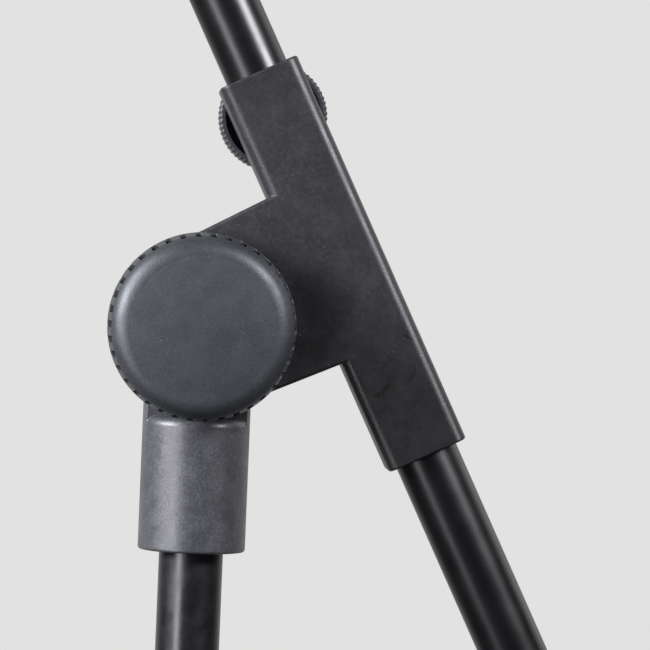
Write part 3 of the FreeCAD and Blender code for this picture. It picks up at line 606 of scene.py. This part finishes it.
def make_tilt_knob():
    corners = local_box("tilt_knob", UPRIGHT)
    low, high = corners
    radius = half_width(corners)
    height = high.y - low.y
    front_radius = radius - KNOB_TAPER
    face = front_radius - KNOB_FILLET
    lean = math.radians(KNOB_LEAN)
    rim = face + KNOB_FILLET * math.sin(lean)
    dome = rim * math.tan(lean) / 2
    edge = height - dome - KNOB_FILLET * math.cos(lean)
    dent = rim - DENT_INSET
    half = NOTCH_WIDTH / 2 / radius
    notch_top = height - NOTCH_TOP
    notch_floor = front_radius - NOTCH_DEPTH

    def in_notch(angle, along):
        off = abs((angle + NOTCH_PITCH / 2) % NOTCH_PITCH - NOTCH_PITCH / 2)
        return off < half + ROUNDING and NOTCH_LOW < along < notch_top

    def shape(angle, across, along):
        if across > front_radius - RIM_BAND and in_notch(angle, along):
            return notch_floor, along
        if abs(across - dent) < HAIR:
            return across, along - DENT_DEPTH * max(0, math.cos(angle - DENT_PLACE)) ** 3
        return across, along

    def wall(along):
        return radius - (radius - front_radius) / edge * along

    profile = [
        (KNOB_HUB_RADIUS, KNOB_HUB_END),
        (KNOB_HUB_RADIUS, KNOB_HOLLOW_DEPTH),
        (KNOB_HOLLOW_RADIUS - KNOB_HOLLOW_EDGE, KNOB_HOLLOW_DEPTH),
        (KNOB_HOLLOW_RADIUS, KNOB_HOLLOW_DEPTH - KNOB_HOLLOW_EDGE),
        (KNOB_HOLLOW_RADIUS, KNOB_HOLLOW_EDGE),
        (KNOB_HOLLOW_RADIUS + KNOB_HOLLOW_EDGE, 0),
        (radius - KNOB_BACK_EDGE, 0),
        (wall(KNOB_BACK_EDGE), KNOB_BACK_EDGE),
        (wall(NOTCH_LOW), NOTCH_LOW),
        (wall(NOTCH_LOW) - HAIR, NOTCH_LOW + NOTCH_LOW_STEP),
    ]
    profile += [(wall(along), along) for along in (*KNOB_WALL_ROWS, edge)]
    profile += arc(face, edge, KNOB_FILLET, 0, 90 - KNOB_LEAN, KNOB_FILLET_STEPS)[1:]
    rings = [dent + DENT_WIDTH, dent, dent - DENT_WIDTH, dent - DENT_SURROUND]
    rings += [FACE_RING_STEP * ring for ring in range(FACE_RINGS, 0, -1)]
    profile += [(ring, height - dome * (ring / rim) ** 2) for ring in rings]
    profile.append((0, height))
    profile = with_step(profile, front_radius - RIM_BAND, notch_top)
    bm = revolve(profile, notched_angles(radius), shape)
    # notch floors are marked for painted shade in the knob's material
    mark = bm.verts.layers.float.new("painted_recess_shade")
    for vertex in bm.verts:
        across = math.hypot(vertex.co.x, vertex.co.y)
        angle = math.atan2(vertex.co.y, vertex.co.x)
        if abs(across - notch_floor) < NOTCH_LOW_STEP and in_notch(angle, vertex.co.z):
            vertex[mark] = 1.0
    matrix = local_frame(PIVOT + BACK * high.y * MM, RIGHT, UP, -BACK)
    knob = place_mesh("tilt_knob_shell", to_mesh(bm), matrix, KNOB_CREASE_ANGLE)
    stand_for(knob, "tilt_knob", "tilt_handle")


# --- boom lock knob, with its local Z out of its face -------------------------------------------

LOCK_CREASE_ANGLE = 30
LOCK_TEETH = 63
LOCK_TOOTH_DEPTH = 0.27
LOCK_TOOTH_STEPS = 6
# points further out than this below the rim's radius follow the teeth
LOCK_TOOTH_BAND = 0.7
LOCK_WALL = 1.9
LOCK_HUB_RADIUS = 3.0
LOCK_CUP_DEPTH = 9.0
LOCK_CUP_CORNER = 0.6
LOCK_CUP_EDGE = 0.2
LOCK_CHAMFER = 0.5
LOCK_ROUNDING = 1.2
LOCK_SHOULDER = 1.6
# rings of the face: how far in from the rim and below the middle
LOCK_FACE_RINGS = ((1.8, 0.3), (3.5, 0.0))
LOCK_FACE_CENTRE = 6.0


def make_boom_lock_knob():
    corners = local_box("boom_lock_knob", UPRIGHT)
    low, high = corners
    radius = half_width(corners)
    height = high.y - low.y
    cup = radius - LOCK_WALL

    def shape(angle, across, along):
        if across < radius - LOCK_TOOTH_BAND:
            return across, along
        share = (angle * LOCK_TEETH / TURN) % 1
        return across - LOCK_TOOTH_DEPTH * math.sin(math.pi * share), along

    profile = [
        (LOCK_HUB_RADIUS, LOCK_CUP_DEPTH),
        (cup - LOCK_CUP_CORNER, LOCK_CUP_DEPTH),
        (cup, LOCK_CUP_DEPTH - LOCK_CUP_CORNER),
        (cup, LOCK_CUP_EDGE),
        (cup + LOCK_CUP_EDGE, 0),
        (radius - LOCK_CHAMFER, 0),
        (radius, LOCK_CHAMFER),
        (radius, height - LOCK_SHOULDER),
    ]
    profile += arc(radius - LOCK_ROUNDING, height - LOCK_SHOULDER, LOCK_ROUNDING, 15, 75, 4)
    profile += [(radius - inset, height - drop) for inset, drop in LOCK_FACE_RINGS]
    profile += [(LOCK_FACE_CENTRE, height), (0, height)]
    bm = revolve(profile, even_angles(LOCK_TEETH * LOCK_TOOTH_STEPS), shape)
    centre = middle(corners)
    origin = PIVOT + Vector((centre.x, low.y, centre.z)) * MM
    matrix = local_frame(origin, RIGHT, -UP, BACK)
    knob = place_mesh("boom_lock_knob_shell", to_mesh(bm), matrix, LOCK_CREASE_ANGLE)
    stand_for(knob, "boom_lock_knob", "boom_lock")


# --- bracket, in the tilted frame ---------------------------------------------------------------

BOSS_STEPS = 64
HOLE_STEPS = 48
TUBE_GAP = 0.05
PIVOT_HOLE_RADIUS = 4.05
PIVOT_HOLE_REACH = 40
SCREW_HOLE_RADIUS = 3.05
SCREW_HOLE_LENGTH = 30
SLEEVE_FILLET = 3.0
SLEEVE_FILLET_STEPS = 8
SLEEVE_END_EDGE = 0.35
ARM_DISC_RADIUS = 21.0
ARM_DISC_STEPS = 48
ARM_ROOT_HALF = 22.3
ARM_EDGE = 0.9
ARM_THICKNESS = 15.5
BOSS_RADIUS = 7.5
BOSS_HEIGHT = 7.5
BOSS_EDGE = 0.6
BRACKET_CREASE_ANGLE = 35
TO_BACK = Matrix.Rotation(math.radians(-90), 4, "X")


def rounded_square(half, radius):
    """Points of a rounded square about the origin."""
    points = []
    reach = half - radius
    for corner, (across, along) in enumerate(((1, 1), (-1, 1), (-1, -1), (1, -1))):
        points += arc(across * reach, along * reach, radius, 90 * corner, 90 * corner + 90,
                      SLEEVE_FILLET_STEPS)
    return points


def make_sleeve(half, length, bore):
    """Square sleeve along local Z about its own axis, with a round bore."""
    edge = SLEEVE_END_EDGE
    end = length / 2
    outer = rounded_square(half, SLEEVE_FILLET)
    inset = rounded_square(half - edge, SLEEVE_FILLET - edge)
    turns = [math.atan2(along, across) for across, along in outer]
    ring = circle_points(bore, turns)
    wide = circle_points(bore + edge, turns)
    loops = [(ring, -end + edge), (wide, -end), (inset, -end), (outer, -end + edge),
             (outer, end - edge), (inset, end), (wide, end), (ring, end - edge)]
    bm = bmesh.new()
    rows = [[bm.verts.new((x, y, z)) for x, y in points] for points, z in loops]
    skin(bm, rows + rows[:1])
    return bm


def make_arm(end):
    """Arm from the disc round the pivot to the sleeve, with softened edges."""
    lean = math.degrees(math.atan2(ARM_ROOT_HALF - ARM_DISC_RADIUS, end))
    outline = arc(0, 0, ARM_DISC_RADIUS, 90 + lean, 270 - lean, ARM_DISC_STEPS)
    outline += [(end, -ARM_ROOT_HALF), (end, ARM_ROOT_HALF)]
    bm = make_prism(outline, 0, ARM_THICKNESS)
    bmesh.ops.recalc_face_normals(bm, faces=bm.faces)
    rim = []
    for edge in bm.edges:
        ends = [vertex.co for vertex in edge.verts]
        level = abs(ends[0].y - ends[1].y) < ROUNDING
        if level and min(point.x for point in ends) < end - HAIR:
            rim.append(edge)
    bmesh.ops.bevel(bm, geom=rim, offset=ARM_EDGE, segments=4, profile=0.5, affect="EDGES")
    return bm


def place_body(name, mesh, matrix, crease):
    """An object from a combined mesh, with its large flat faces shaded flat."""
    piece = place_mesh(name, mesh, matrix, crease)
    weighted = piece.modifiers.new("flat_faces", "WEIGHTED_NORMAL")
    weighted.keep_sharp = True
    return piece


def make_bracket():
    low, high = local_box("boom_bracket", TILTED)
    tube = local_box("boom_tube", TILTED)
    across = middle(tube).x
    half = high.x - across
    depth = low.y + half
    rise = middle(local_box("boom_lock_screw", TILTED)).z
    sleeve = make_blank(make_sleeve(half, high.z - low.z, half_width(tube) + TUBE_GAP),
                        Matrix.Translation((across, depth, 0)))
    arm = make_blank(make_arm(across - half + SLEEVE_FILLET), Matrix.Translation((0, low.y, 0)))
    boss_profile = [(0, 0), (BOSS_RADIUS, 0), (BOSS_RADIUS, BOSS_HEIGHT - BOSS_EDGE),
                    (BOSS_RADIUS - BOSS_EDGE, BOSS_HEIGHT), (0, BOSS_HEIGHT)]
    boss = make_blank(revolve(boss_profile, even_angles(BOSS_STEPS)),
                      Matrix.Translation((across, high.y - BOSS_HEIGHT, rise)) @ TO_BACK)
    screw_hole = make_blank(make_bar(SCREW_HOLE_RADIUS, 0, SCREW_HOLE_LENGTH, HOLE_STEPS),
                            Matrix.Translation((across, depth, rise)) @ TO_BACK)
    pivot_hole = make_blank(
        make_bar(PIVOT_HOLE_RADIUS, -PIVOT_HOLE_REACH, PIVOT_HOLE_REACH, HOLE_STEPS), TO_BACK)
    mesh = combined(sleeve, [(arm, "UNION"), (boss, "UNION"), (screw_hole, "DIFFERENCE"),
                             (pivot_hole, "DIFFERENCE")])
    bracket = place_body("boom_bracket_body", mesh, TILTED, BRACKET_CREASE_ANGLE)
    stand_for(bracket, "boom_bracket", "bracket")


# --- socket, in the upright frame ---------------------------------------------------------------

SOCKET_STEPS = 128
SOCKET_SHOULDER = -22.8
SOCKET_SHOULDER_EDGE = 2.2
SOCKET_FOOT_EDGE = 0.7
SOCKET_CREASE_ANGLE = 30
STUD_HOLE_RADIUS = 4.81
STUD_HEADROOM = 1
EAR_FRONT = -5.0
EAR_CROWN_STEPS = 48
# how far the ear reaches down into the barrel
EAR_OVERLAP = 2
HEX_FLATS = 13.2
HEX_SINK = 5.2
# how far a blank that cuts another reaches past it
CUT_SIDE = 0.2
CUT_END = 1


def make_barrel(radius, foot):
    """Round lower part of the socket, bored for the post and its stud."""
    post = local_box("upper_tube", UPRIGHT)
    bore = half_width(post) + TUBE_GAP
    seat = post[1].z + TUBE_GAP
    stud_top = local_box("post_insert", UPRIGHT)[1].z + STUD_HEADROOM
    profile = [(0, stud_top), (STUD_HOLE_RADIUS, stud_top), (STUD_HOLE_RADIUS, seat),
               (bore, seat), (bore, foot)]
    profile += arc(radius - SOCKET_FOOT_EDGE, foot + SOCKET_FOOT_EDGE, SOCKET_FOOT_EDGE, -90, 0, 5)
    profile += arc(radius - SOCKET_SHOULDER_EDGE, SOCKET_SHOULDER - SOCKET_SHOULDER_EDGE,
                   SOCKET_SHOULDER_EDGE, 0, 90, 10)
    profile.append((0, SOCKET_SHOULDER))
    return revolve(profile, even_angles(SOCKET_STEPS))


def make_ear(radius):
    """Flat ear with a round crown, cut from a bar of the socket's radius."""
    under = SOCKET_SHOULDER - SOCKET_SHOULDER_EDGE - EAR_OVERLAP
    side = radius + CUT_SIDE
    crown = [(side, under - CUT_END), (side, 0)]
    crown += arc(0, 0, radius, 0, 180, EAR_CROWN_STEPS)
    crown += [(-side, 0), (-side, under - CUT_END)]
    bar = make_blank(make_bar(radius, under, radius + CUT_END, SOCKET_STEPS))
    plate = make_blank(make_prism(crown, EAR_FRONT, radius * 2))
    return link_object("blank", combined(bar, [(plate, "INTERSECT")]))


def make_socket():
    corners = local_box("swivel_socket", UPRIGHT)
    radius = half_width(corners)
    barrel = make_blank(make_barrel(radius, corners[0].z))
    ear = make_ear(radius)
    round_outline = circle_points(PIVOT_HOLE_RADIUS, even_angles(HOLE_STEPS))
    hole = make_blank(make_prism(round_outline, -radius * 2, radius * 2))
    hexagon = circle_points(HEX_FLATS / math.sqrt(3), even_angles(6))
    sink = make_blank(make_prism(hexagon, radius - HEX_SINK, radius * 2))
    mesh = combined(barrel, [(ear, "UNION"), (hole, "DIFFERENCE"), (sink, "DIFFERENCE")])
    socket = place_body("swivel_socket_body", mesh, UPRIGHT, SOCKET_CREASE_ANGLE)
    stand_for(socket, "swivel_socket", "post")


# --- microphone stud, in the tilted frame -------------------------------------------------------

THREAD_PITCH = 25.4 / 16
THREAD_DEPTH = 0.9
THREAD_ROWS = 8
THREAD_STEPS = 64
THREAD_RUNOUT = 0.2
THREAD_CHAMFER = 0.8
# how far in from the thread's crest each ring of the chamfer is
CHAMFER_RINGS = (0.2, 0.4, THREAD_CHAMFER)
THREAD_CREASE_ANGLE = 40


def make_mic_stud():
    corners = local_box("mic_stud", TILTED)
    low, high = corners
    collar = local_box("mic_end_plug", TILTED)[1].z
    radius = half_width(corners)
    root = radius - THREAD_DEPTH

    def shape(angle, across, along):
        if along < collar - THREAD_RUNOUT:
            return across, along
        turn = (along / THREAD_PITCH - angle / TURN) % 1
        return min(across, root + THREAD_DEPTH * abs(2 * turn - 1)), along

    step = THREAD_PITCH / THREAD_ROWS
    chamfer = high.z - THREAD_CHAMFER
    rows = int((chamfer - collar) / step) + 1
    profile = [(0, low.z), (root, low.z)]
    profile += [(radius, collar + step * row) for row in range(rows)]
    profile += [(radius - inset, chamfer + inset) for inset in CHAMFER_RINGS]
    profile.append((0, high.z))
    bm = revolve(profile, even_angles(THREAD_STEPS), shape)
    centre = middle(corners) * MM
    matrix = TILTED @ Matrix.Translation((centre.x, centre.y, 0))
    stud = place_mesh("mic_stud_thread", to_mesh(bm), matrix, THREAD_CREASE_ANGLE)
    stand_for(stud, "mic_stud", "boom")


# --- stage --------------------------------------------------------------------------------------

# the camera's angles are in degrees, and its lens is in millimetres
VIEW_AZIMUTH = -3.0
VIEW_ELEVATION = 1.0
VIEW_ROLL = 2.4
VIEW_DISTANCE = 0.925
VIEW_LENS = 205
VIEW_AIM = Vector((0.0311, 0, 0.0013))
CLIP_NEAR = 0.05
CLIP_FAR = 100
BACKDROP = (0.76, 0.76, 0.7562, 1)
ROOM_FRONT = (0.027, 0.028, 0.031, 1)
ROOM_BEHIND = (0.55, 0.55, 0.55, 1)
FLOOR_RADIUS = 1.5
FLOOR_SOLID_RADIUS = 0.4
FLOOR_STEPS = 96
FLOOR_PATCH = 0.4
FLOOR_DARK = (0.40, 0.40, 0.395, 1)
FLOOR_LIGHT = (0.43, 0.43, 0.425, 1)
FLOOR_ROUGH = 0.8
FLOOR_GLOW = (1, 1, 0.99, 1)
FLOOR_GLOW_STRENGTH = 0.38
COOL_LIGHT = (0.98, 0.98, 1.03)
WHITE_LIGHT = (1, 1, 1)


def towards(azimuth, elevation):
    """Unit vector from the clutch towards a camera or light at these angles in degrees."""
    turn = math.radians(azimuth)
    rise = math.radians(elevation)
    return Vector((math.sin(turn) * math.cos(rise), -math.cos(turn) * math.cos(rise),
                   math.sin(rise)))


def make_camera():
    data = bpy.data.cameras.new("camera")
    data.lens = VIEW_LENS
    data.clip_start = CLIP_NEAR
    data.clip_end = CLIP_FAR
    camera = link_object("camera", data)
    back = towards(VIEW_AZIMUTH, VIEW_ELEVATION)
    right = UP.cross(back).normalized()
    up = back.cross(right)
    roll = math.radians(VIEW_ROLL)
    across = right * math.cos(roll) + up * math.sin(roll)
    upward = up * math.cos(roll) - right * math.sin(roll)
    place = PIVOT + VIEW_AIM + back * VIEW_DISTANCE
    camera.matrix_world = local_frame(place, across, upward, back)
    bpy.context.scene.camera = camera


def make_world():
    """A pale backdrop that only the camera sees, and a room that is dim in front of the object."""
    world = bpy.data.worlds.new("studio")
    bpy.context.scene.world = world
    world.use_nodes = True
    tree = world.node_tree
    tree.nodes.clear()
    place = add_node(tree, "ShaderNodeTexCoord").outputs["Generated"]
    parts = add_node(tree, "ShaderNodeSeparateXYZ", {}, {"Vector": place})
    behind = remap(tree, parts.outputs["Y"], 0.2, 0.95)
    room_colour = mix_colour(tree, behind, ROOM_FRONT, ROOM_BEHIND)
    room = add_node(tree, "ShaderNodeBackground", {}, {"Color": room_colour, "Strength": 1.0})
    pale = add_node(tree, "ShaderNodeBackground", {}, {"Color": BACKDROP, "Strength": 1.0})
    seen = add_node(tree, "ShaderNodeLightPath").outputs["Is Camera Ray"]
    mixed = add_node(tree, "ShaderNodeMixShader", {},
                     {0: seen, 1: room.outputs[0], 2: pale.outputs[0]})
    output = add_node(tree, "ShaderNodeOutputWorld")
    tree.links.new(mixed.outputs[0], output.inputs["Surface"])


def make_floor_paint():
    """Pale paint with a glow of its own, which fades away from the middle of the floor."""
    material = bpy.data.materials.new("pale_floor")
    material.use_nodes = True
    tree = material.node_tree
    shader = tree.nodes["Principled BSDF"]
    place = add_node(tree, "ShaderNodeTexCoord").outputs["Object"]
    patches = remap(tree, noise_value(tree, place, FLOOR_PATCH, rough=0.5), *NOISE_SPAN)
    colour = mix_colour(tree, patches, FLOOR_DARK, FLOOR_LIGHT)
    distance = add_node(tree, "ShaderNodeVectorMath", {"operation": "LENGTH"}, {0: place})
    solid = remap(tree, distance.outputs["Value"], FLOOR_RADIUS, FLOOR_SOLID_RADIUS)
    tree.links.new(colour, shader.inputs["Base Color"])
    tree.links.new(solid, shader.inputs["Alpha"])
    shader.inputs["Roughness"].default_value = FLOOR_ROUGH
    shader.inputs["Emission Color"].default_value = FLOOR_GLOW
    shader.inputs["Emission Strength"].default_value = FLOOR_GLOW_STRENGTH
    return material


def make_floor():
    """A round floor at the feet, which adds no bounced light and shows in no reflection."""
    bm = bmesh.new()
    bmesh.ops.create_circle(bm, cap_ends=True, segments=FLOOR_STEPS, radius=FLOOR_RADIUS)
    bm.transform(Matrix.Translation((0, 0, CAD_BOX[0].z)))
    floor = link_object("floor", to_mesh(bm))
    floor.data.materials.append(make_floor_paint())
    floor.visible_diffuse = False
    floor.visible_glossy = False


def add_softbox(name, azimuth, elevation, distance, size, power, colour=COOL_LIGHT):
    """A soft rectangular light that faces the clutch, placed by its angles in degrees."""
    data = bpy.data.lights.new(name, "AREA")
    data.shape = "RECTANGLE"
    data.size, data.size_y = size
    data.energy = power
    data.color = colour
    light = link_object(name, data)
    back = towards(azimuth, elevation)
    light.location = PIVOT + back * distance
    light.rotation_mode = "QUATERNION"
    light.rotation_quaternion = (-back).to_track_quat("-Z", "Y")
    light.visible_camera = False


def make_lights():
    add_softbox("left_key", -65, 16, 1.3, size=(0.35, 0.35), power=19)
    add_softbox("left_high", -73, 28, 1.3, size=(0.4, 0.4), power=12)
    add_softbox("left_wide", -43, -7, 1.3, size=(0.38, 0.8), power=5.5)
    add_softbox("right_key", 48, 29, 1.3, size=(0.46, 0.34), power=15.5)
    add_softbox("right_back", 120, 20, 1.4, size=(0.9, 0.9), power=2, colour=WHITE_LIGHT)


# --- making -------------------------------------------------------------------------------------

for node_name, cad_node in NODES.items():
    dress(cad_node, SLOT_OF_NODE[node_name])
make_tilt_knob()
make_boom_lock_knob()
make_bracket()
make_socket()
make_mic_stud()
make_camera()
make_world()
make_floor()
make_lights()
bpy.context.scene.view_settings.view_transform = "Standard"
